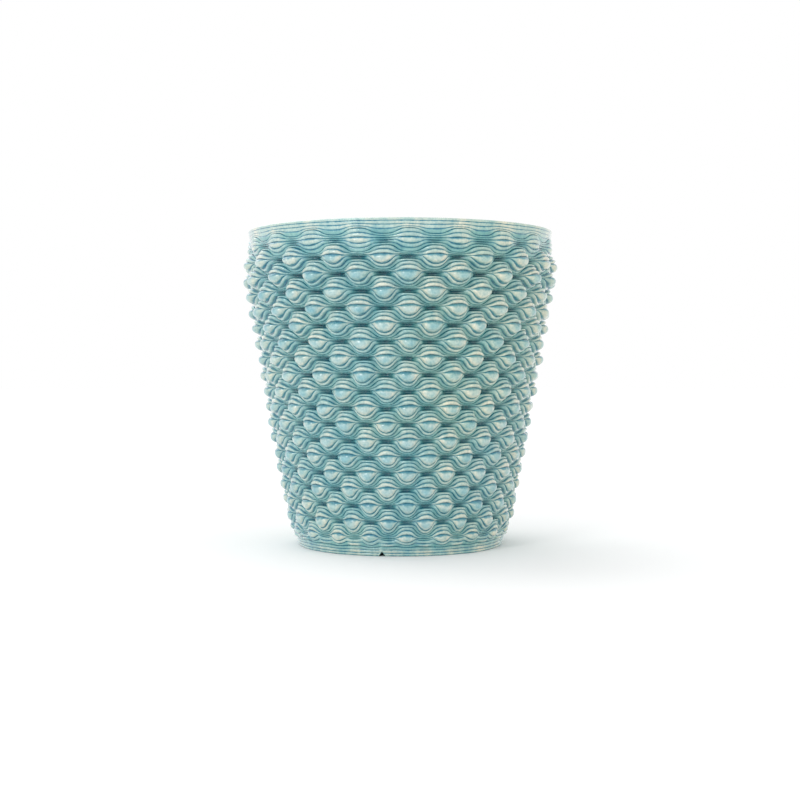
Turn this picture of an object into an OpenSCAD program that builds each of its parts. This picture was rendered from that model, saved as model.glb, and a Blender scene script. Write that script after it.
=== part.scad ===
// Planter pot built up from coils of clay. Plain coils make the foot and the lip. Between
// them lie courses of coils that swing in and out, so that each course carries a ring of
// bobbles, half a step round from the bobbles of the courses above and below.
// Millimetres. +Z is up, -Y is the front, and the origin is the middle of the foot's base.

/* [Pot] */
// Height from the bench to the lip
pot_h = 150; // [110:1:220]
// Outer radius of the plain wall where it meets the bench
foot_r = 49.75; // [38:0.25:80]
// Outer radius of the plain wall at the lip
rim_r = 73.2; // [50:0.1:110]
// Thickness of the wall between its inside and the plain outer wall, measured level
wall_t = 5; // [4:0.25:9]

/* [Bobbled courses] */
// Number of bobbled courses between the foot and the lip
courses = 19; // [8:1:30]
// Number of bobbles round each course
bobbles = 20; // [12:1:30]
// Direction of the first course's first bobble, in degrees from the front towards +X
first_bobble_a = 3.3; // [-9:0.1:9]
// How far a bobble would stand out of the plain wall at the bench
bobble_out_low = 3.15; // [1:0.1:6]
// How far a bobble would stand out of the plain wall at the lip
bobble_out_high = 7.2; // [1:0.1:9]
// Share of its full size that the lowest course's bobbles have
first_course_share = 0.7; // [0.1:0.05:1]
// Share of their full size that the last two courses' bobbles have
last_course_shares = [0.8, 0.3]; // [0.1:0.05:1]

/* [Foot and floor] */
// Height of the plain foot
foot_h = 4.4; // [2:0.1:10]
// Number of coils in the foot
foot_coils = 3; // [1:1:6]
// Width of the ledge inside the foot that the floor lies on
ledge_w = 3; // [1:0.25:10]
// Thickness of the floor
floor_t = 3; // [1.5:0.25:10]
// Radius of the drain hole in the floor
drain_r = 6; // [2:0.25:20]
// Width of the drain notch in the foot, at the bench
notch_w = 2.8; // [1:0.1:8]
// Height of the drain notch
notch_h = 1.9; // [0.5:0.1:1.9]
// Direction of the drain notch, in degrees from the front towards +X
notch_a = -9.4; // [-180:0.1:180]

/* [Lip] */
// Height of the plain band at the lip
rim_h = 5.9; // [1.5:0.1:15]
// Number of coils in the band
rim_coils = 4; // [1:1:8]

/* [Hidden] */
// Radius of a plain coil's round outer face, as a share of the coil's height
coil_face_share = 0.8;
// How far a course's seams sway up and down round the bobbles, as a share of its height
seam_sway_share = 0.26;
// Heights of the two edges of a bobble's face, as shares of its course from the bottom seam
face_low = 0.25;
face_high = 0.71;
// Places on the bobble relief, as shares of the bobble's reach: the bottom of a hollow
// between bobbles, a seam where it crosses a hollow, and a seam beside a bobble
hollow_share = -0.35;
seam_hollow_share = -0.25;
seam_side_share = 0.3;

glaze = [0.56, 0.74, 0.73];
bare = [0.72, 0.74, 0.68];

course_h = (pot_h - foot_h - rim_h) / courses;
steps_per_bobble = 6;
outer_n = steps_per_bobble * bobbles;
steps_per_facet = 3;
inner_n = outer_n / steps_per_facet;
eps = 0.01;
round_fn = 96;

function two_digits(n) = str(n < 10 ? "0" : "", n);
function course_name(k) = str("wall_course_", two_digits(k + 1));

function lerp(a, b, t) = a + (b - a) * t;
// A point at angle a from the front, radius r and height z
function polar(a, r, z) = [r * sin(a), -r * cos(a), z];
// The plain wall, outside and inside
function plain_r(z) = lerp(foot_r, rim_r, z / pot_h);
function inner_r(z) = plain_r(z) - wall_t;
// A bobble's full reach at height z
function reach(z) = lerp(bobble_out_low, bobble_out_high, z / pot_h);
// How much of its full size course k has
function course_share(k) =
    k == courses - 1 ? last_course_shares[1] :
    k == courses - 2 ? last_course_shares[0] :
    k == 0 ? first_course_share : 1;
// 1 at the middle of course k's bobbles, -1 midway between them
function wave(k, a) = (k % 2 == 0 ? 1 : -1) * cos(bobbles * (a - first_bobble_a));

// Seam s is the bottom of course s and the top of course s - 1. The lowest and the highest
// seam are flat, because they meet the plain foot and lip.
function seam_level(s) = foot_h + s * course_h;
function seam_share(s) = s == 0 || s == courses ? 0 : max(course_share(s - 1), course_share(s));
function seam_z(s, a) = seam_level(s) - seam_sway_share * course_h * seam_share(s) * wave(s, a);
function seam_r(s, a) =
    let (relief = lerp(seam_side_share, seam_hollow_share, pow(wave(s, a), 2)))
    plain_r(seam_level(s)) + reach(seam_level(s)) * seam_share(s) * relief;
// The face of course k's bobbles and of the hollows between them
function face_r(k, a) =
    let (
        z = seam_level(k + 0.5),
        relief = lerp(hollow_share, 1, (1 + wave(k, a)) / 2)
    )
    plain_r(z) + reach(z) * course_share(k) * relief;
function face_z(k, a, share) = lerp(seam_z(k, a), seam_z(k + 1, a), share);

function outer_a(i) = first_bobble_a + 360 * i / outer_n;
function inner_a(i) = first_bobble_a + 360 * i / inner_n;
function seam_row(s) = [for (i = [0:outer_n - 1]) polar(outer_a(i), seam_r(s, outer_a(i)), seam_z(s, outer_a(i)))];
function face_row(k, share) =
    [for (i = [0:outer_n - 1]) polar(outer_a(i), face_r(k, outer_a(i)), face_z(k, outer_a(i), share))];
function inner_row(z) = [for (i = [0:inner_n - 1]) polar(inner_a(i), inner_r(z), z)];

// Faces of a strip between two rows of n points that start at low and high, seen from outside
function strip(low, high, n) = [
    for (i = [0:n - 1])
        let (j = (i + 1) % n)
        each [[low + i, high + i, high + j], [low + i, high + j, low + j]]
];
// Faces from a row of outer points to the row of inner points, three outer steps to a facet
function ring_faces(outer, inner) = [
    for (i = [0:inner_n - 1])
        let (
            j = (i + 1) % inner_n,
            o = [for (d = [0:steps_per_facet]) outer + (steps_per_facet * i + d) % outer_n]
        )
        each [
            [o[0], inner + i, o[1]],
            [o[1], inner + i, inner + j],
            [o[1], inner + j, o[2]],
            [o[2], inner + j, o[3]]
        ]
];
function turned(faces) = [for (f = faces) [f[2], f[1], f[0]]];

// One course of bobbled coils, closed by the seams below and above it
module wall_course(k) {
    points = concat(
        seam_row(k),
        face_row(k, face_low),
        face_row(k, face_high),
        seam_row(k + 1),
        inner_row(seam_level(k)),
        inner_row(seam_level(k + 1))
    );
    inner_low = 4 * outer_n;
    inner_high = inner_low + inner_n;
    faces = concat(
        strip(0, outer_n, outer_n),
        strip(outer_n, 2 * outer_n, outer_n),
        strip(2 * outer_n, 3 * outer_n, outer_n),
        ring_faces(3 * outer_n, inner_high),
        turned(ring_faces(0, inner_low)),
        turned(strip(inner_low, inner_high, inner_n))
    );
    color(glaze) polyhedron(points = points, faces = faces);
}

// Section of plain coils stacked from z0 to z1, solid back to the inner radii at both levels
module coil_section(z0, z1, inner_r0, inner_r1, coils) {
    coil_h = (z1 - z0) / coils;
    face_radius = coil_face_share * coil_h;
    groove_depth = face_radius - sqrt(pow(face_radius, 2) - pow(coil_h / 2, 2));
    polygon([
        [inner_r0, z0],
        [plain_r(z0) - groove_depth, z0],
        [plain_r(z1) - groove_depth, z1],
        [inner_r1, z1]
    ]);
    intersection() {
        translate([plain_r(z0) - wall_t / 2, z0])
            square([plain_r(z1) - plain_r(z0) + wall_t, z1 - z0]);
        union() {
            for (i = [0:coils - 1]) {
                z = z0 + (i + 0.5) * coil_h;
                translate([plain_r(z) - face_radius, z]) circle(r = face_radius);
            }
        }
    }
}

// The plain coils that the pot stands on, with the ledge for the floor and the drain notch
module foot_ring() {
    ledge_r = inner_r(foot_h) - ledge_w;
    color(bare)
        difference() {
            rotate_extrude($fn = round_fn) coil_section(0, foot_h, ledge_r, ledge_r, foot_coils);
            rotate([0, 0, notch_a - 90])
                translate([ledge_r - wall_t, 0, 0])
                    rotate([90, 0, 90])
                        linear_extrude(height = ledge_w + 3 * wall_t)
                            polygon([
                                [-notch_w / 2, 0],
                                [-notch_w / 2, -eps],
                                [notch_w / 2, -eps],
                                [notch_w / 2, 0],
                                [0, notch_h]
                            ]);
        }
}

// The floor fits the facets of the lowest course's inside and lies on the foot's ledge
module floor_disc() {
    color(glaze)
        translate([0, 0, foot_h])
            difference() {
                linear_extrude(height = floor_t)
                    polygon([for (p = inner_row(foot_h)) [p[0], p[1]]]);
                translate([0, 0, -1]) cylinder(r = drain_r, h = floor_t + 2, $fn = round_fn);
            }
}

// The plain coils of the lip
module rim_band() {
    z0 = pot_h - rim_h;
    color(glaze)
        rotate_extrude($fn = round_fn)
            coil_section(z0, pot_h, inner_r(z0), inner_r(pot_h), rim_coils);
}

foot_ring();
floor_disc();
for (k = [0:courses - 1]) {
    wall_course(k);
}
rim_band();
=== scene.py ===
# %% [markdown]
# # A planter pot of coiled clay
# The pot is one wall of clay coils, laid one on another and fired. Plain coils make the foot
# and the lip. Between them the coils swing in and out in courses of five, so each course
# carries a ring of bobbles, half a step round from the bobbles above and below. The packed
# CAD model is loaded first. It stays where it is, and the pot's main sizes are read from it.

# %% Load the frame
import math
import bpy
import numpy as np
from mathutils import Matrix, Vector


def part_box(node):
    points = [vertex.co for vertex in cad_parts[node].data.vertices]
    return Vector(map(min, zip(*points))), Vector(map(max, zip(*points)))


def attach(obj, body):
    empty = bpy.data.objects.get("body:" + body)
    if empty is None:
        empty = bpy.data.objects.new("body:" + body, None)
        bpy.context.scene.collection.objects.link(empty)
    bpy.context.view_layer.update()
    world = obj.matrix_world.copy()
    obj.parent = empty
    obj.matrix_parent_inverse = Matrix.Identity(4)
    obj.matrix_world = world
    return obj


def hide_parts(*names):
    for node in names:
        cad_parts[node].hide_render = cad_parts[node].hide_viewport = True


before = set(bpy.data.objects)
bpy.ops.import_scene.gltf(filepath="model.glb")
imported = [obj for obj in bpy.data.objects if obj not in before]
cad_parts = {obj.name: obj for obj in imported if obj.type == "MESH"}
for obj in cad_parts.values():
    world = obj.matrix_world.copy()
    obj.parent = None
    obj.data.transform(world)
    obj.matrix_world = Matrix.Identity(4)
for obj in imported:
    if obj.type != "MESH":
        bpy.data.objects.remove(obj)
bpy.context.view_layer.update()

MM = 0.001

# %% [markdown]
# ## Sizes
# The plain wall is a straight taper, so two widths fix it: the widest points of the foot's
# top coil and of the lip's top coil. Blender works in metres, and so does the frame.

# %% Read the sizes of the wall
COURSES = sum(name.startswith("wall_course_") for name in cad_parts)
COILS_IN_COURSE = 5
COILS_IN_FOOT = 3
COILS_IN_LIP = 4

FOOT_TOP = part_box("foot_ring")[1].z
LIP_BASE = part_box("rim_band")[0].z
POT_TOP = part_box("rim_band")[1].z
COURSE_H = (LIP_BASE - FOOT_TOP) / COURSES
FOOT_COIL_Z = FOOT_TOP * (1 - 0.5 / COILS_IN_FOOT)
LIP_COIL_Z = POT_TOP - (POT_TOP - LIP_BASE) * 0.5 / COILS_IN_LIP


def widest(node):
    """How far a node reaches from the pot's axis."""
    low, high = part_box(node)
    return max(high.x, high.y, -low.x, -low.y)


def narrowest(node):
    """The radius of the hole through a node."""
    return min(math.hypot(v.co.x, v.co.y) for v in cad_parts[node].data.vertices)


WIDEST_FOOT = widest("foot_ring")
TAPER = (widest("rim_band") - WIDEST_FOOT) / (LIP_COIL_Z - FOOT_COIL_Z)


def plain_radius(z):
    """The radius of the plain wall at a height."""
    return WIDEST_FOOT + TAPER * (z - FOOT_COIL_Z)


WALL = plain_radius(FOOT_TOP) - widest("floor_disc")
LEDGE_RADIUS = narrowest("foot_ring")
DRAIN_RADIUS = narrowest("floor_disc")
print("courses:", COURSES, "course height mm:", round(COURSE_H / MM, 3))
print("wall mm:", round(WALL / MM, 2), "ledge radius mm:", round(LEDGE_RADIUS / MM, 2))
print("drain hole radius mm:", round(DRAIN_RADIUS / MM, 2))

# %% [markdown]
# Each course's box gives how far its bobbles stand out of that wall. The bobbles point 18
# degrees apart, and the box only measures the one that lies nearest to an axis. Dividing by
# the cosine of what it is off the axis by gives its tip.

# %% Read how far each course's bobbles stand out
BOBBLES = 20
FIRST_BOBBLE = math.radians(3.3)
BOBBLE_STEP = 2 * math.pi / BOBBLES


def course_name(k):
    return f"wall_course_{k + 1:02d}"


def course_middle(k):
    return FOOT_TOP + (k + 0.5) * COURSE_H


def bobble_angle(k):
    """Where course k's first bobble points, half a step back in every other course."""
    return FIRST_BOBBLE - (BOBBLE_STEP / 2) * (k % 2)


def bobble_reach(k):
    off_axis = math.remainder(bobble_angle(k), BOBBLE_STEP)
    return widest(course_name(k)) / math.cos(off_axis) - plain_radius(course_middle(k))


REACH = [bobble_reach(k) for k in range(COURSES)]
print("reach in mm:", [round(r / MM, 2) for r in REACH])

# %% [markdown]
# ## Camera
# A short telephoto at the height of the pot's middle, tipped down a little, so that the lip
# is seen from just below and hides the inside.

# %% Make the camera
CAMERA_DISTANCE = 0.660
CAMERA_HEIGHT = 0.0865
CAMERA_TIP = math.radians(1.5)
CAMERA_LENS = 61.25

camera_data = bpy.data.cameras.new("camera")
camera_data.lens = CAMERA_LENS
camera_data.sensor_width = 36
camera = bpy.data.objects.new("camera", camera_data)
bpy.context.collection.objects.link(camera)
camera.location = (0, -CAMERA_DISTANCE, CAMERA_HEIGHT)
camera.rotation_euler = (math.pi / 2 - CAMERA_TIP, 0, 0)
bpy.context.scene.camera = camera
print("camera distance m:", CAMERA_DISTANCE, "lens mm:", CAMERA_LENS)

# %% [markdown]
# ## Studio
# A white sweep under a white sky lights the pot evenly and gives the gloss something pale to
# reflect. The sweep is matt, so that it shows no reflection of the pot.

# %% Lay the floor and make the sky
SWEEP_SIZE = 8
SWEEP_WHITE = (0.92, 0.92, 0.92, 1)
SKY_WHITE = (1, 1, 1, 1)


def deselect_all():
    bpy.ops.object.select_all(action="DESELECT")


deselect_all()
bpy.ops.mesh.primitive_plane_add(size=SWEEP_SIZE, location=(0, 0, 0))
floor = bpy.context.object
floor.name = "studio_floor"
white_sweep = bpy.data.materials.new("white_sweep")
white_sweep.use_nodes = True
sweep_shader = white_sweep.node_tree.nodes["Principled BSDF"]
sweep_shader.inputs["Base Color"].default_value = SWEEP_WHITE
sweep_shader.inputs["Roughness"].default_value = 0.9
sweep_shader.inputs["Specular IOR Level"].default_value = 0
floor.data.materials.append(white_sweep)

world = bpy.data.worlds.new("studio")
bpy.context.scene.world = world
world.use_nodes = True
world.node_tree.nodes["Background"].inputs["Color"].default_value = SKY_WHITE
world.node_tree.nodes["Background"].inputs["Strength"].default_value = 1.0
bpy.context.scene.view_settings.view_transform = "Standard"
print("floor m across:", SWEEP_SIZE)

# %% [markdown]
# A broad soft light comes from high behind on the left, so the pot's shadow falls forward,
# and a weak softbox on the left in front picks out the noses.

# %% Hang the lights
SOFTBOX_PLACE = (-0.62, -0.95, 0.52)
SOFTBOX_SIZE = 0.3
SOFTBOX_POWER = 2.8
BACK_LIGHT_WAY = (0.55, -0.75, -1.0)
BACK_LIGHT_POWER = 0.75
BACK_LIGHT_SPREAD = math.radians(55)


def add_light(name, kind, power, way, place=(0, 0, 0)):
    """A light of one kind that stands at a place and shines along way."""
    light = bpy.data.lights.new(name, kind)
    light.energy = power
    lamp = bpy.data.objects.new(name, light)
    bpy.context.collection.objects.link(lamp)
    lamp.location = place
    lamp.rotation_euler = Vector(way).to_track_quat("-Z", "Y").to_euler()
    return light


to_pot = Vector((0, 0, POT_TOP / 2)) - Vector(SOFTBOX_PLACE)
softbox = add_light("left_softbox", "AREA", SOFTBOX_POWER, to_pot, SOFTBOX_PLACE)
softbox.shape = "SQUARE"
softbox.size = SOFTBOX_SIZE
back_light = add_light("back_light", "SUN", BACK_LIGHT_POWER, BACK_LIGHT_WAY)
back_light.angle = BACK_LIGHT_SPREAD
print("lights:", softbox.name, back_light.name)

# %% [markdown]
# ## The way the coils run
# Everything about a course follows from one wave round the pot, called its swing: 1 at the
# middle of a bobble, 0 at its sides and -1 in the hollow between two bobbles. A shape value
# is given at those three places, and a parabola in the swing joins them. The wave can be
# steepened or its hollows narrowed, because soft clay is rounder at some heights than others.

# %% Define the swing
HOLLOW_POWER = 1.5


def swing(k, angle):
    return np.cos(BOBBLES * (angle - bobble_angle(k)))


def steepened(wave, steepness):
    """The same wave with flatter tops and steeper sides."""
    return np.tanh(steepness * wave) / np.tanh(steepness)


def narrowed(wave):
    """The same wave with narrower hollows."""
    return np.where(wave < 0, -(np.abs(wave) ** HOLLOW_POWER), wave)


def around(at_bobble, at_side, at_hollow, wave):
    """A value between the three that are given, at each point of a wave."""
    mean = (at_bobble + at_hollow) / 2
    return at_side + (at_bobble - at_hollow) / 2 * wave + (mean - at_side) * wave**2


print("swing at a bobble, its side and a hollow:",
      np.round(swing(0, bobble_angle(0) + BOBBLE_STEP * np.array([0, 0.25, 0.5])), 3))

# %% [markdown]
# Two courses meet in a seam. It sways with the bobbles on both sides of it, and less where
# the pattern dies out into the plain foot and lip. The end courses have smaller bobbles than
# the taper would give, and size_share says how much smaller.

# %% Run the seams between the courses
SEAM_SWAY = 0.25 * COURSE_H
SEAM_STEEPNESS = 0.5
SWAY_OF_FOOT_SEAM = 0.15
SWAY_OF_LIP_SEAM = 0.70


def full_reach(z):
    """The reach of a full-sized bobble at height z, from two courses that have them."""
    low, high = 2, COURSES - 3
    slope = (REACH[high] - REACH[low]) / (course_middle(high) - course_middle(low))
    return REACH[low] + slope * (z - course_middle(low))


def size_share(k):
    return min(1.0, REACH[k] / full_reach(course_middle(k)))


def seam_level(s):
    return FOOT_TOP + s * COURSE_H


def seam_share(s):
    """How much of the full sway the seam under course s has."""
    if s == 0:
        return SWAY_OF_FOOT_SEAM
    if s == COURSES:
        return SWAY_OF_LIP_SEAM
    return max(size_share(s - 1), size_share(s))


def seam_height(s, angle):
    """Height of the seam under course s: low under its bobbles, high over the ones below."""
    share = seam_share(s)
    wave = steepened(swing(s, angle), 1 + SEAM_STEEPNESS * share)
    return seam_level(s) - SEAM_SWAY * share * wave


print("size of each course's bobbles:", [round(size_share(k), 2) for k in range(COURSES)])

# %% [markdown]
# Within a course the middle coil carries the bobble's round nose and is nearly half of its
# height. The coil above it is the next thickest. In the hollows all five are pressed thin.
# The clay sags on each nose, so beside it the two lower coils take up more of the height.

# %% Share out a course's height among its coils
THICKNESS_AT_BOBBLE = (0.07, 0.13, 0.46, 0.19, 0.15)
THICKNESS_AT_SIDE = (0.30, 0.27, 0.06, 0.14, 0.23)
THICKNESS_IN_HOLLOW = (0.30, 0.30, 0.14, 0.13, 0.13)
JOINT_STEEPNESS = 1.9
JOINT_ROUNDING = 0.7


def coil_wave(k, angle):
    """Course k's swing, rounded on the noses and flat in the hollows."""
    wave = swing(k, angle)
    return steepened(wave, JOINT_STEEPNESS - JOINT_ROUNDING * wave)


def coil_tops(k, angle):
    """Heights of the joints between course k's coils, from its lower seam to its upper one."""
    wave, size = coil_wave(k, angle), size_share(k)
    low, high = seam_height(k, angle), seam_height(k + 1, angle)
    heights, share = [low], 0
    for places in zip(THICKNESS_AT_BOBBLE, THICKNESS_AT_SIDE, THICKNESS_IN_HOLLOW):
        share = share + size * around(*places, wave) + (1 - size) / COILS_IN_COURSE
        heights.append(low + share * (high - low))
    return heights


MIDDLE_COURSE = COURSES // 2
at_a_bobble = np.array([bobble_angle(MIDDLE_COURSE)])
joint_heights = np.ravel(coil_tops(MIDDLE_COURSE, at_a_bobble))
print("coil heights at a bobble, mm:", np.round(np.diff(joint_heights) / MM, 2))

# %% [markdown]
# The coils also share out how far the course stands out, as parts of a full bobble's reach.
# No two bobbles are quite the same size, so each gets its own. Between the bobbles of the
# first course the coils lie further out, because they rest on the foot and not in a hollow.

# %% Share out a course's reach among its coils
CREST_AT_BOBBLE = (0.13, 0.43, 1.0, 0.72, 0.45)
CREST_AT_SIDE = (0.06, 0.28, 0.32, 0.38, 0.10)
CREST_IN_HOLLOW = (0.33, -0.42, -0.16, 0.00, 0.08)
CREST_IN_FIRST_HOLLOW = (0.62, 0.22, -0.05, 0.00, 0.08)
CREST_STEEPNESS = 1.2
SEAM_DEPTH = 0.38 * MM
BOBBLE_SIZES = np.random.default_rng(21).uniform(0.90, 1.02, (COURSES, BOBBLES))


def own_size(k, angle):
    """The size of the nearest bobble, fading to 1 at its sides."""
    nearest = np.rint((angle - bobble_angle(k)) / BOBBLE_STEP).astype(int) % BOBBLES
    return 1 + (BOBBLE_SIZES[k, nearest] - 1) * np.clip(swing(k, angle), 0, 1)


def crests(k, angle):
    """How far each coil of course k stands out of the plain wall at its crest."""
    size = full_reach(course_middle(k)) * size_share(k) * own_size(k, angle)
    wave = narrowed(steepened(swing(k, angle), CREST_STEEPNESS))
    in_hollow = CREST_IN_HOLLOW if k > 0 else CREST_IN_FIRST_HOLLOW
    return [
        size * around(*places, wave) for places in zip(CREST_AT_BOBBLE, CREST_AT_SIDE, in_hollow)
    ]


def seam_offset(s, angle):
    """How far the groove of the seam under course s stands out of the plain wall."""
    below = crests(s - 1, angle)[-1] if s > 0 else np.zeros_like(angle)
    above = crests(s, angle)[0] if s < COURSES else np.zeros_like(angle)
    return np.minimum(below, above) - SEAM_DEPTH


print("crests at a bobble, mm:",
      np.round(np.ravel(crests(MIDDLE_COURSE, at_a_bobble)) / MM, 2))

# %% [markdown]
# A hand-guided coil is never quite even. A smooth random field, fixed by its seed and closed
# round the pot, nudges every point a little. It depends only on where a point is, so two
# coils that meet stay together. The heights stay true at the foot's flat and at the lip.

# %% Make the unevenness of the clay
FINE_BULGE = 0.20        # these three in mm
BROAD_BULGE = 0.30
RISE = 0.28
TURN = math.radians(0.60)
TRUE_ENDS = 5 * MM


def field(seed, steps_round, step_up, angle, z):
    """A smooth random value at each point, about -1 to 1."""
    rows = int(POT_TOP / step_up) + 3
    lattice = np.random.default_rng(seed).uniform(-1, 1, (rows, steps_round))
    u = np.mod(angle / (2 * math.pi), 1) * steps_round
    v = np.clip(z / step_up, 0, rows - 2)
    i, j = np.floor(u).astype(int) % steps_round, np.floor(v).astype(int)
    fu, fv = [(1 - np.cos(math.pi * (w - np.floor(w)))) / 2 for w in (u, v)]
    i2 = (i + 1) % steps_round
    low = lattice[j, i] * (1 - fu) + lattice[j, i2] * fu
    high = lattice[j + 1, i] * (1 - fu) + lattice[j + 1, i2] * fu
    return low * (1 - fv) + high * fv


def unevenness(angle, z):
    """Shifts of radius, angle and height at each point."""
    ends = np.clip(np.minimum(z, POT_TOP - z) / TRUE_ENDS, 0, 1)
    fine = FINE_BULGE * MM * field(11, 40, 3.7 * MM, angle, z)
    broad = BROAD_BULGE * MM * field(12, 9, 30 * MM, angle, z)
    turn = TURN * field(13, 30, 7 * MM, angle, z)
    height = ends * RISE * MM * field(14, 50, 4.2 * MM, angle, z)
    return fine + broad, turn, height


once_round = np.linspace(0, 2 * math.pi, 360)
bulges = unevenness(once_round, np.full(360, POT_TOP / 2))[0]
print("radius shifts at mid-height, mm:", round(bulges.min() / MM, 2), round(bulges.max() / MM, 2))

# %% [markdown]
# ## A blank ring
# Each course starts as two open cylinders, one for the outside and one for the inside, cut
# into rows and bridged at both ends. That is how it would be done by hand, and it gives a
# closed ring of even quads. Edges are picked by their place, which these helpers read.

# %% Read and select parts of a mesh
SAME_PLACE = 1e-6


def select_edges(mesh, chosen):
    for part in (mesh.vertices, mesh.polygons):
        part.foreach_set("select", np.zeros(len(part), bool))
    mesh.edges.foreach_set("select", chosen)


def coordinates(mesh):
    flat_list = np.empty(len(mesh.vertices) * 3)
    mesh.vertices.foreach_get("co", flat_list)
    return flat_list.reshape(-1, 3)


def edge_ends(mesh):
    """The two ends of every edge."""
    flat_list = np.empty(len(mesh.edges) * 2, int)
    mesh.edges.foreach_get("vertices", flat_list)
    return coordinates(mesh)[flat_list.reshape(-1, 2)]


print("points closer than this are in the same place, m:", SAME_PLACE)

# %% [markdown]
# The inner cylinder is turned inside out before the two are joined, so that both walls face
# away from the clay and the bridges between them run straight across.

# %% Make a blank ring
COLUMNS = 24 * BOBBLES
COLUMN_ANGLES = FIRST_BOBBLE + 2 * math.pi / COLUMNS * np.arange(COLUMNS)


def open_cylinder(radius, z_low, z_high, rows, columns):
    """A cylinder with no ends, cut into rows."""
    deselect_all()
    bpy.ops.mesh.primitive_cylinder_add(
        vertices=columns, radius=radius, depth=z_high - z_low, end_fill_type="NOTHING",
        location=(0, 0, (z_low + z_high) / 2), rotation=(0, 0, FIRST_BOBBLE),
    )
    tube = bpy.context.object
    bpy.ops.object.transform_apply(location=True, rotation=True, scale=True)
    ends = edge_ends(tube.data)
    select_edges(tube.data, np.abs(ends[:, 0, 2] - ends[:, 1, 2]) > (z_high - z_low) / 2)
    bpy.context.tool_settings.mesh_select_mode = (False, True, False)
    bpy.ops.object.mode_set(mode="EDIT")
    if rows > 1:
        bpy.ops.mesh.subdivide(number_cuts=rows - 1)
    bpy.ops.object.mode_set(mode="OBJECT")
    return tube


def blank_ring(name, radii, levels, rows, cuts=(0, 0), columns=COLUMNS):
    """A closed ring between two radii and two levels. rows are the rows of its outside and
    its inside, and cuts are the extra loops across its underside and its top."""
    outer = open_cylinder(radii[1], *levels, rows[0], columns)
    inner = open_cylinder(radii[0], *levels, rows[1], columns)
    bpy.ops.object.mode_set(mode="EDIT")
    bpy.ops.mesh.select_all(action="SELECT")
    bpy.ops.mesh.flip_normals()
    bpy.ops.object.mode_set(mode="OBJECT")
    outer.select_set(True)
    bpy.context.view_layer.objects.active = outer
    bpy.ops.object.join()
    for level, cut in zip(levels, cuts):
        heights = edge_ends(outer.data)[:, :, 2]
        select_edges(outer.data, np.all(np.abs(heights - level) < SAME_PLACE, axis=1))
        bpy.ops.object.mode_set(mode="EDIT")
        bpy.ops.mesh.bridge_edge_loops(number_cuts=cut, interpolation="LINEAR")
        bpy.ops.object.mode_set(mode="OBJECT")
    bpy.ops.object.mode_set(mode="EDIT")
    bpy.ops.mesh.select_all(action="SELECT")
    bpy.ops.mesh.normals_make_consistent(inside=False)
    bpy.ops.object.mode_set(mode="OBJECT")
    outer.name = outer.data.name = name
    return outer


print("columns round the pot:", COLUMNS)

# %% [markdown]
# ## From blank to clay
# A stack of coils is described by the heights of the joints between them, by how far each
# joint and each crest stands out, and by how many rows each coil has. Across a coil the
# surface follows a quarter ellipse up to the crest and another one down to the next joint.
# Glaze pools in the joints. It creeps further down over a nose than over a thin coil.

# %% Describe a stack of coils
POOL_ABOVE_CREST = 0.85
POOL_BELOW_CREST = 1.5


def coil_profile(joints, joint_offsets, crest_offsets, rows, pool_above=None):
    """Height, offset and glaze pooling on a grid of rows by columns. The lower the power in
    pool_above, the further glaze pools down from the joint above each coil."""
    pool_above = pool_above or (POOL_ABOVE_CREST,) * len(rows)
    heights, offsets, pools = [], [], []
    for i, count in enumerate(rows):
        first = 0 if i == 0 else 1
        for j in range(first, count + 1):
            share = (1 - math.cos(math.pi * j / count)) / 2
            joint = joint_offsets[i] if share < 0.5 else joint_offsets[i + 1]
            bulge = math.sqrt(max(0, 1 - (2 * share - 1) ** 2))
            heights.append(joints[i] + share * (joints[i + 1] - joints[i]))
            offsets.append(joint + bulge * (crest_offsets[i] - joint))
            power = pool_above[i] if share > 0.5 else POOL_BELOW_CREST
            pools.append(np.full_like(joints[0], (1 - bulge) ** power))
    return np.array(heights), np.array(offsets), np.array(pools)


INNER_ROWS = 3
INNER_COIL_DEPTH = 0.35 * MM


def inner_profile(joints, dimples):
    """The inside of a stack of coils: shallow grooves, with a dimple behind each bobble."""
    count = len(joints) - 1
    grooves = [dimple + INNER_COIL_DEPTH for dimple in dimples]
    crest = [(a + b) / 2 for a, b in zip(dimples, dimples[1:])]
    return coil_profile(joints, grooves, crest, (INNER_ROWS,) * count)


print("grooves inside, mm:", round(INNER_COIL_DEPTH / MM, 2))

# %% [markdown]
# The blank's points are then moved to where the clay lies, as a sculptor would push them,
# because no modifier knows the run of the coils. Each point's row and column are read from
# where it lies on the blank.

# %% Move a blank's points to the clay
def ring_index(mesh, levels, rows, radii):
    """For each point: whether it's on the outside, its row and its column."""
    points = coordinates(mesh)
    radius = np.hypot(points[:, 0], points[:, 1])
    outside = radius > sum(radii) / 2
    share = (points[:, 2] - levels[0]) / (levels[1] - levels[0])
    row = np.rint(share * np.where(outside, rows[0], rows[1])).astype(int)
    angle = np.arctan2(points[:, 0], -points[:, 1])
    column = np.rint((angle - FIRST_BOBBLE) / (2 * math.pi / COLUMNS)).astype(int) % COLUMNS
    return outside, row, column


def place_points(mesh, radius, angle, height):
    shift_r, shift_a, shift_z = unevenness(angle, height)
    radius, angle, height = radius + shift_r, angle + shift_a, height + shift_z
    points = np.stack([radius * np.sin(angle), -radius * np.cos(angle), height], axis=1)
    mesh.vertices.foreach_set("co", points.ravel())
    mesh.update()


def store(mesh, name, values):
    """Keep a value at each point, for the glaze to read."""
    layer = mesh.attributes.new(name, "FLOAT", "POINT")
    layer.data.foreach_set("value", values.astype(np.float32))


print("steps of a bobble from column to column:", COLUMNS // BOBBLES)

# %% [markdown]
# The glaze reads two values at each point: pool, how near it is to a joint, and out, how far
# it stands out, as a part of a full bobble. The plain foot and lip have no relief, so there
# the value is a middle one with a faint wash that goes on with the nearest course's wave.

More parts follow.
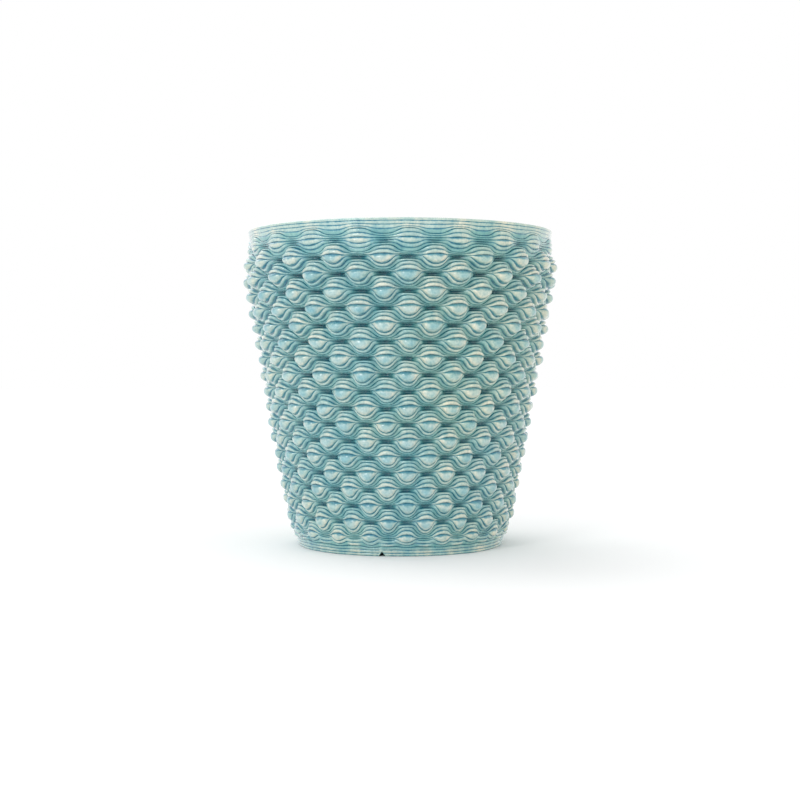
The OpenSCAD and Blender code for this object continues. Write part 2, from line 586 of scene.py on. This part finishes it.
# %% Make a ring of clay
GLAZE_BREAK = 0.5
PLAIN_WASH = 0.14
PLAIN_FADE = 2 * MM
RELIEF_SOFTENING = 0.7


def relief_scale(height):
    """How the relief's size at a height compares with full size, softened for the glaze."""
    middles = [course_middle(k) for k in range(COURSES)]
    scales = [size_share(k) ** RELIEF_SOFTENING for k in range(COURSES)]
    return np.interp(height, middles, scales)


def glaze_relief(height, offset, angle):
    """How far each point stands out, for the glaze."""
    beyond = np.maximum(FOOT_TOP - height, height - LIP_BASE)
    plain = np.clip(beyond / PLAIN_FADE, 0, 1)
    nearest_seam = 0 if height.mean() < course_middle(0) else COURSES
    washed = GLAZE_BREAK - PLAIN_WASH * swing(nearest_seam, angle)
    relief = (1 - plain) * offset / (full_reach(height) * relief_scale(height))
    return relief + plain * washed


def wall_piece(name, levels, outer_grid, inner_grid, inner_radius=None):
    """A closed ring whose outside and inside follow two grids of height, offset and pooling."""
    rows = (len(outer_grid[0]) - 1, len(inner_grid[0]) - 1)
    middle = plain_radius(sum(levels) / 2)
    radii = (inner_radius or middle - WALL, middle)
    ring = blank_ring(name, radii, levels, rows)
    outside, row, column = ring_index(ring.data, levels, rows, radii)
    picked = []
    for outer, inner in zip(outer_grid, inner_grid):
        values = np.empty(len(row))
        values[outside] = outer[row[outside], column[outside]]
        values[~outside] = inner[row[~outside], column[~outside]]
        picked.append(values)
    height, offset, pool = picked
    angle = COLUMN_ANGLES[column]
    inside = inner_radius or plain_radius(height) - WALL
    place_points(ring.data, np.where(outside, plain_radius(height), inside) + offset, angle, height)
    relief = glaze_relief(height, offset, angle)
    store(ring.data, "pool", pool)
    store(ring.data, "out", np.where(outside, relief, GLAZE_BREAK))
    bpy.ops.object.shade_smooth()
    return ring


print("relief of the first course, for the glaze:", round(float(relief_scale(course_middle(0))), 2))

# %% [markdown]
# ## Courses
# All courses are laid by the same function. The grooves between their coils are deepest over
# the bobbles and partly filled at the sides, where the coils are squeezed together.

# %% Lay the courses
ROWS_IN_COIL = (6, 6, 12, 6, 6)
NOSE_COIL = 2
POOL_OVER_NOSE = 0.58
GROOVE_DEPTHS = [depth * MM for depth in (0.38, 0.45, 0.75, 0.42)]
GROOVE_OPENNESS = (1.0, 0.55, 0.8)
INNER_DIMPLE = 0.9 * MM


def wall_course(k):
    angle = COLUMN_ANGLES
    joints = coil_tops(k, angle)
    tops = crests(k, angle)
    openness = around(*GROOVE_OPENNESS, swing(k, angle))
    between = [
        np.minimum(a, b) - depth * openness for a, b, depth in zip(tops, tops[1:], GROOVE_DEPTHS)
    ]
    offsets = [seam_offset(k, angle), *between, seam_offset(k + 1, angle)]
    pool_above = [POOL_ABOVE_CREST] * COILS_IN_COURSE
    pool_above[NOSE_COIL] = POOL_OVER_NOSE
    outer = coil_profile(joints, offsets, tops, ROWS_IN_COIL, pool_above)
    steps = range(COILS_IN_COURSE + 1)
    level = [np.full_like(angle, seam_level(k) + COURSE_H * i / COILS_IN_COURSE) for i in steps]
    depth = INNER_DIMPLE * size_share(k) * swing(k, angle)
    dimple = [depth * math.sin(math.pi * i / COILS_IN_COURSE) for i in steps]
    inner = inner_profile(level, dimple)
    return wall_piece(course_name(k) + "_clay", (seam_level(k), seam_level(k + 1)), outer, inner)


course_pieces = [wall_course(k) for k in range(COURSES)]
print("course pieces:", len(course_pieces), "faces each:", len(course_pieces[0].data.polygons))

# %% [markdown]
# ## Lip and foot
# The lip and the foot are plain coils of even height. The lip's last coil is rounded right
# over, and the foot's first one is rounded under to the flat it stands on. On that rounding
# the glaze has an even thickness, since there is no joint for it to pool in. The first coils
# of the foot start just over the notch, and the start leaves a mark that fills the grooves.

# %% Describe a band of plain coils
PLAIN_ROWS = 8
PLAIN_GROOVE = 0.36 * MM
LIP_ROUNDING = 0.48 * WALL
FLAT = np.zeros_like(COLUMN_ANGLES)


def plain_band(
    name, levels, joints, first_joint, last_joint, end_pool, filled=0, inner_radius=None
):
    """A ring of plain coils between the given joints. filled is how far, from 0 to 1 at each
    column, the grooves between the coils are filled. end_pool is the glaze at its free end."""
    coils = len(joints) - 1
    rows = (PLAIN_ROWS,) * coils
    crest = [FLAT] * coils
    groove = FLAT - PLAIN_GROOVE * (1 - filled)
    offsets = [first_joint, *[groove] * (coils - 1), last_joint]
    outer = coil_profile(joints, offsets, crest, rows)
    outer[2][:] *= 1 - filled
    level = [FLAT + z for z in np.linspace(*levels, coils + 1)]
    groove = FLAT + INNER_COIL_DEPTH
    end = np.minimum(-last_joint, LIP_ROUNDING)
    inner = coil_profile(level, [*[groove] * coils, end], crest, rows)
    half = PLAIN_ROWS // 2
    free_end = slice(-half, None) if levels[1] == POT_TOP else slice(0, half)
    outer[2][free_end] = inner[2][free_end] = end_pool
    return wall_piece(name, levels, outer, inner, inner_radius)


def fading_joints(seam, end_level, coils):
    """Joints of a plain band: swaying with the seam at one end, level at the other."""
    start = seam_height(seam, COLUMN_ANGLES)
    sway = start - seam_level(seam)
    joints = []
    for i in range(coils + 1):
        level = seam_level(seam) + (end_level - seam_level(seam)) * i / coils
        joints.append(level + sway * max(0, 1 - i / (coils - 1)) ** 2)
    return joints


print("rounding of the lip, mm:", round(LIP_ROUNDING / MM, 2))

# %% Lay the lip and the foot
LIP_EDGE_POOL = 0
FOOT_EDGE_POOL = 0.4
FOOT_ROUNDING = 0.5 * MM
NOTCH_ANGLE = math.radians(-9.4)
START_MARK_WIDTH = math.radians(0.8)

lip = plain_band(
    "lip_clay", (LIP_BASE, POT_TOP), fading_joints(COURSES, POT_TOP, COILS_IN_LIP),
    seam_offset(COURSES, COLUMN_ANGLES), FLAT - LIP_ROUNDING, LIP_EDGE_POOL,
)
from_notch = (COLUMN_ANGLES - NOTCH_ANGLE + math.pi) % (2 * math.pi) - math.pi
start_mark = np.exp(-((from_notch / START_MARK_WIDTH) ** 2))
foot = plain_band(
    "foot_clay", (0, FOOT_TOP), fading_joints(0, 0, COILS_IN_FOOT)[::-1],
    FLAT - FOOT_ROUNDING, seam_offset(0, COLUMN_ANGLES), FOOT_EDGE_POOL, start_mark, LEDGE_RADIUS,
)
print("faces of the lip and the foot:", len(lip.data.polygons), len(foot.data.polygons))

# %% [markdown]
# ## Drain notch
# Water that runs out under the pot leaves through a small notch in the foot, pinched while
# the clay is soft. A three-sided prism is laid along the radius there, reaching a little
# below the bench, and its long edges are rounded.

# %% Make the notch's cutter
NOTCH_WIDTH = 3.3 * MM
NOTCH_HEIGHT = 2.3 * MM
NOTCH_ROUNDING = 0.3 * MM
# Painted shade: a deep out value for the notch's walls, so that the glaze colours them dark.
NOTCH_SHADE_OUT = -0.6
BELOW_BENCH = 0.4 * MM

prism_height = NOTCH_HEIGHT + BELOW_BENCH
prism_width = NOTCH_WIDTH * prism_height / NOTCH_HEIGHT
prism_middle = plain_radius(0) - WALL / 2
deselect_all()
bpy.ops.mesh.primitive_cylinder_add(
    vertices=3, radius=1, depth=1,
    location=(
        prism_middle * math.sin(NOTCH_ANGLE), -prism_middle * math.cos(NOTCH_ANGLE),
        prism_height / 3 - BELOW_BENCH,
    ),
    rotation=(math.pi / 2, 0, NOTCH_ANGLE),
    scale=(prism_width / math.sqrt(3), prism_height / 1.5, 4 * WALL),
)
cutter = bpy.context.object
bpy.ops.object.transform_apply(location=True, rotation=True, scale=True)
ends = edge_ends(cutter.data)
select_edges(cutter.data, np.linalg.norm(ends[:, 0] - ends[:, 1], axis=1) > 3 * WALL)
bpy.ops.object.mode_set(mode="EDIT")
bpy.ops.mesh.bevel(offset=NOTCH_ROUNDING, segments=4, affect="EDGES")
bpy.ops.object.mode_set(mode="OBJECT")
# Painted shade: full pooling and the deep value colour the notch's cut walls dark.
store(cutter.data, "pool", np.ones(len(cutter.data.vertices)))
store(cutter.data, "out", np.full(len(cutter.data.vertices), NOTCH_SHADE_OUT))
print("faces of the cutter:", len(cutter.data.polygons))

# %% [markdown]
# A Boolean takes the prism out of the foot. The cut walls keep the cutter's own glaze values,
# full pooling and far in, which paint shade into the notch so that it is dark.

# %% Cut the notch
deselect_all()
foot.select_set(True)
bpy.context.view_layer.objects.active = foot
notch = foot.modifiers.new("notch", "BOOLEAN")
notch.operation, notch.solver, notch.object = "DIFFERENCE", "EXACT", cutter
before = len(foot.data.polygons)
bpy.ops.object.modifier_apply(modifier="notch")
bpy.data.objects.remove(cutter)
bpy.ops.object.shade_smooth_by_angle(angle=math.radians(60))
print("foot faces before and after the notch:", before, len(foot.data.polygons))

# %% [markdown]
# ## Floor
# The floor is one coil wound flat from the drain hole out to the wall. It starts as a blank
# ring too, but cut into many loops across its top, and those loops are raised into coils.

# %% Wind the floor
FLOOR_COLUMNS = 160
FLOOR_EDGE_ROWS = 2
UNDERSIDE_LOOPS = 7
FLOOR_COIL_WIDTH = 2.4 * MM
ROWS_IN_FLOOR_COIL = 6
FLOOR_COIL_DEPTH = 0.4 * MM
FLOOR_BITE = 0.8 * MM

floor_levels = (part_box("floor_disc")[0].z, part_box("floor_disc")[1].z)
floor_edge = plain_radius(FOOT_TOP) - WALL + FLOOR_BITE
floor_coils = round((floor_edge - DRAIN_RADIUS) / FLOOR_COIL_WIDTH)
pot_floor = blank_ring(
    "floor_clay", (DRAIN_RADIUS, floor_edge), floor_levels, (FLOOR_EDGE_ROWS, FLOOR_EDGE_ROWS),
    (UNDERSIDE_LOOPS, floor_coils * ROWS_IN_FLOOR_COIL - 1), FLOOR_COLUMNS,
)
points = coordinates(pot_floor.data)
radius = np.hypot(points[:, 0], points[:, 1])
on_top = points[:, 2] > floor_levels[1] - SAME_PLACE
across = (radius - DRAIN_RADIUS) / (floor_edge - DRAIN_RADIUS) * floor_coils
bulge = np.sqrt(np.clip(1 - (2 * (across % 1) - 1) ** 2, 0, 1))
bulge[np.abs(across - np.rint(across)) < 0.01] = 0
points[:, 2] -= np.where(on_top, FLOOR_COIL_DEPTH * (1 - bulge), 0)
pot_floor.data.vertices.foreach_set("co", points.ravel())
store(pot_floor.data, "pool", np.where(on_top, 1 - bulge, 0))
store(pot_floor.data, "out", np.full(len(points), GLAZE_BREAK))
bpy.ops.object.shade_smooth_by_angle(angle=math.radians(60))
print("coils across the floor:", floor_coils, "faces:", len(pot_floor.data.polygons))

# %% [markdown]
# ## Glaze
# A celadon glaze is thin and pale where it runs off a crest and blue-green where it pools.
# It could be painted on, but nodes that read the stored values follow every coil exactly.
# The helpers below each lay a node or two and give back what comes out of them.

# %% Lay nodes for values
def attribute(tree, name):
    """A value stored on the piece."""
    node = tree.nodes.new("ShaderNodeAttribute")
    node.attribute_name = name
    return node.outputs["Fac"]


def position(tree, axis):
    """A point's own X, Y or Z in metres."""
    place = tree.nodes.new("ShaderNodeTexCoord")
    parts = tree.nodes.new("ShaderNodeSeparateXYZ")
    tree.links.new(place.outputs["Object"], parts.inputs["Vector"])
    return parts.outputs[axis]


def noise(tree, scale, detail=2.0, stretch=(1, 1, 1), shift=(0, 0, 0)):
    """A noise value on the piece's own coordinates, which are metres."""
    place = tree.nodes.new("ShaderNodeTexCoord")
    mapping = tree.nodes.new("ShaderNodeMapping")
    mapping.inputs["Scale"].default_value = stretch
    mapping.inputs["Location"].default_value = shift
    texture = tree.nodes.new("ShaderNodeTexNoise")
    texture.inputs["Scale"].default_value = scale
    texture.inputs["Detail"].default_value = detail
    tree.links.new(place.outputs["Object"], mapping.inputs["Vector"])
    tree.links.new(mapping.outputs["Vector"], texture.inputs["Vector"])
    return texture.outputs["Fac"]


def spread(tree, value, low, high, to_low=0.0, to_high=1.0):
    """A value's range stretched to another range."""
    node = tree.nodes.new("ShaderNodeMapRange")
    node.inputs["From Min"].default_value = low
    node.inputs["From Max"].default_value = high
    node.inputs["To Min"].default_value = to_low
    node.inputs["To Max"].default_value = to_high
    tree.links.new(value, node.inputs["Value"])
    return node.outputs["Result"]


def added(tree, first, second):
    node = tree.nodes.new("ShaderNodeMath")
    node.operation = "ADD"
    tree.links.new(first, node.inputs[0])
    tree.links.new(second, node.inputs[1])
    return node.outputs[0]


# %% Lay nodes for colours
BLACK = (0, 0, 0, 1)
WHITE = (1, 1, 1, 1)


def linear(*srgb):
    """An 8-bit sRGB colour as Blender's linear values."""
    return tuple(((c / 255 + 0.055) / 1.055) ** 2.4 for c in srgb) + (1,)


def ramp_of(tree, value, stops):
    """A value turned into colours, with a colour at each position."""
    ramp = tree.nodes.new("ShaderNodeValToRGB")
    elements = ramp.color_ramp.elements
    while len(elements) < len(stops):
        elements.new(0.5)
    for element, (place, colour) in zip(elements, stops):
        element.position = place
        element.color = colour
    tree.links.new(value, ramp.inputs["Fac"])
    return ramp.outputs["Color"]


def mixed(tree, mode, factor, first, second):
    """Two colours mixed. Each input is a socket or a plain value."""
    mix = tree.nodes.new("ShaderNodeMix")
    mix.data_type, mix.blend_type = "RGBA", mode
    sockets = (mix.inputs[0], mix.inputs[6], mix.inputs[7])
    for socket, value in zip(sockets, (factor, first, second)):
        if isinstance(value, bpy.types.NodeSocket):
            tree.links.new(value, socket)
        else:
            socket.default_value = value
    return mix.outputs[2]


def tinted(tree, body, tint):
    return mixed(tree, "MULTIPLY", 1.0, body, tint)


print("mid grey as a linear value:", round(linear(128, 128, 128)[0], 3))

# %% [markdown]
# ### Thin and pooled glaze, with painted shade in the hollows
# The colour runs from green in a hollow through cream to pale green on a bobble's tip, and
# the pooled glaze lies over it in the joints, with a border that fine upright streaks make
# ragged. Both darken towards blue the deeper a point lies, partly as glaze that pools in the
# hollows and partly as painted shade there.

# %% Colour the glaze by its thickness
STREAKS = {"scale": 420, "detail": 3, "stretch": (1, 1, 0.25), "shift": (3, 1, 0)}
STREAK_STRENGTH = 0.16
CREST_COLOURS = [
    (0.0, linear(134, 178, 174)), (0.3, linear(160, 196, 190)), (0.48, linear(192, 210, 200)),
    (0.62, linear(210, 216, 202)), (0.78, linear(230, 224, 206)), (1.0, linear(172, 202, 202)),
]
POOLED_COLOURS = [
    (0.25, linear(128, 174, 174)), (0.6, linear(88, 152, 164)), (1.0, linear(54, 126, 148)),
]
# By how far in a point lies: darker and bluer, partly pooled glaze and partly painted shade in the
# hollows.
DEPTH_POOL_AND_SHADE_COLOURS = [
    (0.0, linear(84, 164, 196)), (0.3, linear(150, 208, 220)), (0.75, linear(220, 242, 242)),
    (1.0, WHITE),
]


def pooling(tree):
    """How much glaze has pooled at each point, with a ragged border."""
    streaks = spread(tree, noise(tree, **STREAKS), 0.3, 0.7, -STREAK_STRENGTH, STREAK_STRENGTH)
    return added(tree, attribute(tree, "pool"), streaks)


def thin_pooled_and_shaded(tree, ragged, thick):
    """The glaze's colour, darkened deep in the hollows partly by pooled glaze and partly by painted
    shade. thick is the ragged pooling as a mask.
    """
    out = attribute(tree, "out")
    crest = ramp_of(tree, spread(tree, out, -0.3, 1.0), CREST_COLOURS)
    body = mixed(tree, "MIX", thick, crest, ramp_of(tree, ragged, POOLED_COLOURS))
    # Painted shade and pooled glaze: the deeper a point lies, the darker and bluer its tint.
    return tinted(tree, body, ramp_of(tree, spread(tree, out, -0.6, 0.2), DEPTH_POOL_AND_SHADE_COLOURS))


print("colours in the crest ramp:", len(CREST_COLOURS))

# %% [markdown]
# ### Unevenness of the firing, and painted shade on one side
# Glaze is never the same all over a pot. It is bluer in patches and, where it has pooled,
# near the foot and the lip. It drifts from cool to warm from one side to the other, and that
# drift also darkens the left side, which the softbox lights, as painted shade. It is mottled
# and finely speckled where gas escaped. A scale of 260 means blotches of 4 mm.

# %% Vary the glaze over the pot
BLOTCHES = {"scale": 260, "detail": 3}
PATCHES = {"scale": 120, "shift": (0, 5, 2)}
DRIFT = {"scale": 18, "shift": (0.4, 0.2, 0.1)}
SPECKLES = {"scale": 1100, "shift": (1, 0, 7)}
BLUER = linear(206, 236, 244)
BY_HEIGHT_COLOURS = [
    (0.0, linear(206, 238, 252)), (0.2, WHITE), (0.78, WHITE), (0.94, linear(200, 236, 252)),
]
# Cool on the left and warm on the right: glaze drift, together with painted shade on the lamp-lit
# left side.
DRIFT_AND_SHADE_COLOURS = [
    (0.35, linear(236, 248, 252)), (0.5, linear(252, 253, 249)), (0.65, linear(255, 253, 244)),
]
MOTTLE_COLOURS = [(0.3, linear(222, 236, 240)), (0.6, WHITE)]
SPECKLE_COLOURS = [(0.36, linear(228, 238, 242)), (0.56, linear(255, 254, 252))]
# How far the gradient across X reaches and how strong it is: glaze drift, and painted shade on the
# left.
SIDE_TO_SIDE = 60 * MM
SIDE_DRIFT_AND_SHADE = 0.12


def unevenly_fired_and_side_shaded(tree, body, thick, blotches):
    """The glaze's colour with its patches, drift, mottling and speckles. The side-to-side drift also
    paints shade on the lamp-lit left side.
    """
    bluer = ramp_of(tree, noise(tree, **PATCHES), [(0.42, BLACK), (0.62, WHITE)])
    body = mixed(tree, "MIX", bluer, body, tinted(tree, body, BLUER))
    height = spread(tree, position(tree, "Z"), 0, POT_TOP)
    by_height = tinted(tree, body, ramp_of(tree, height, BY_HEIGHT_COLOURS))
    body = mixed(tree, "MIX", thick, body, by_height)
    # Painted shade as well as drift: the gradient across X makes the lamp-lit left side darker and
    # bluer.
    sideways_drift_and_shade = spread(
        tree, position(tree, "X"), -SIDE_TO_SIDE, SIDE_TO_SIDE, -SIDE_DRIFT_AND_SHADE, SIDE_DRIFT_AND_SHADE
    )
    drift = added(tree, noise(tree, **DRIFT), sideways_drift_and_shade)
    body = tinted(tree, body, ramp_of(tree, drift, DRIFT_AND_SHADE_COLOURS))
    body = tinted(tree, body, ramp_of(tree, blotches, MOTTLE_COLOURS))
    return tinted(tree, body, ramp_of(tree, noise(tree, **SPECKLES), SPECKLE_COLOURS))


print("drift from side to side:", SIDE_DRIFT_AND_SHADE)

# %% [markdown]
# ### Gloss and bare clay
# A glaze is glass over clay, so a clear coat gives the sharp reflections, over a body that is
# a little rougher and finely pitted. The flat that the pot stands on is wiped bare before the
# firing, or the pot would stick to the kiln's shelf.

# %% Make the two materials
PITS = {"scale": 900, "detail": 3}
PIT_STRENGTH = 0.35
PIT_DEPTH = 0.0002
COAT_ROUGHNESS = 0.10
BARE_BELOW, GLAZED_ABOVE = 0.05 * MM, 0.15 * MM
CLAY_COLOURS = [(0.3, linear(176, 168, 148)), (0.7, linear(206, 200, 182))]


def glaze_material(name, bare_foot=False):
    """Celadon glaze, and with bare_foot also the bare clay of the flat under the pot."""
    material = bpy.data.materials.new(name)
    material.use_nodes = True
    tree = material.node_tree
    shader = tree.nodes["Principled BSDF"]
    ragged, blotches = pooling(tree), noise(tree, **BLOTCHES)
    thick = ramp_of(tree, ragged, [(0.15, BLACK), (0.45, WHITE)])
    body = thin_pooled_and_shaded(tree, ragged, thick)
    body = unevenly_fired_and_side_shaded(tree, body, thick, blotches)
    if bare_foot:
        glazed = spread(tree, position(tree, "Z"), BARE_BELOW, GLAZED_ABOVE)
        body = mixed(tree, "MIX", glazed, ramp_of(tree, blotches, CLAY_COLOURS), body)
    tree.links.new(body, shader.inputs["Base Color"])
    tree.links.new(spread(tree, blotches, 0.3, 0.7, 0.16, 0.32), shader.inputs["Roughness"])
    bump = tree.nodes.new("ShaderNodeBump")
    bump.inputs["Strength"].default_value = PIT_STRENGTH
    bump.inputs["Distance"].default_value = PIT_DEPTH
    tree.links.new(noise(tree, **PITS), bump.inputs["Height"])
    tree.links.new(bump.outputs["Normal"], shader.inputs["Normal"])
    shader.inputs["Coat Weight"].default_value = 1.0
    shader.inputs["Coat Roughness"].default_value = COAT_ROUGHNESS
    return material


glaze = glaze_material("celadon_glaze")
foot_glaze = glaze_material("foot_glaze", bare_foot=True)
print("nodes in the glaze:", len(glaze.node_tree.nodes))

# %% [markdown]
# ## Finishing
# Each piece stands for one CAD node and rides on the pot's only body. The foot takes the
# glaze with a bare flat under it, and all the rest is glazed.

# %% Dress the pieces
finished = [(piece, course_name(k), "celadon_glaze", glaze) for k, piece in enumerate(course_pieces)]
finished += [
    (lip, "rim_band", "celadon_glaze", glaze),
    (pot_floor, "floor_disc", "celadon_glaze", glaze),
    (foot, "foot_ring", "foot_clay", foot_glaze),
]
for piece, node, slot, material in finished:
    piece.data.materials.clear()
    piece.data.materials.append(material)
    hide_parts(node)
    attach(piece, "root")
print("pieces finished:", len(finished))
